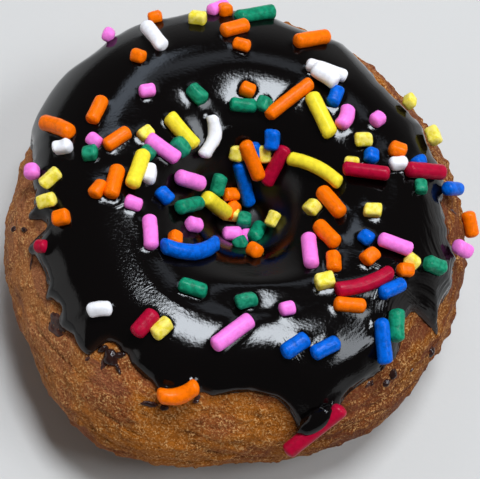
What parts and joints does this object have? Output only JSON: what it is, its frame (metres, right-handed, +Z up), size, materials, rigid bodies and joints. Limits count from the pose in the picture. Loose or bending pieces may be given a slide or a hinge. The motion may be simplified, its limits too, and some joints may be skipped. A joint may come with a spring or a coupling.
{
  "type": "sprinkle frosted doughnut",
  "caption": "Small ring doughnut with a fried crust, glossy dark chocolate icing over its crown and coloured sugar strands set in the icing.",
  "frame": {"origin": "middle of the underside, on the surface the doughnut lies on", "axes": "+Z up out of the iced side, the hole's axis along Z, -Y towards the long drip of icing"},
  "size_m": [0.06, 0.066, 0.0269],
  "materials": {
    "fried_crust": "matte, browned cake crust",
    "chocolate_icing": "wet gloss, near black",
    "orange_sugar": "satin",
    "yellow_sugar": "satin",
    "pink_sugar": "satin",
    "green_sugar": "satin",
    "blue_sugar": "satin",
    "red_sugar": "satin",
    "white_sugar": "satin"
  },
  "bodies": {
    "root": {"dough": "fried_crust", "icing": "chocolate_icing"}
  },
  "joints": []
}
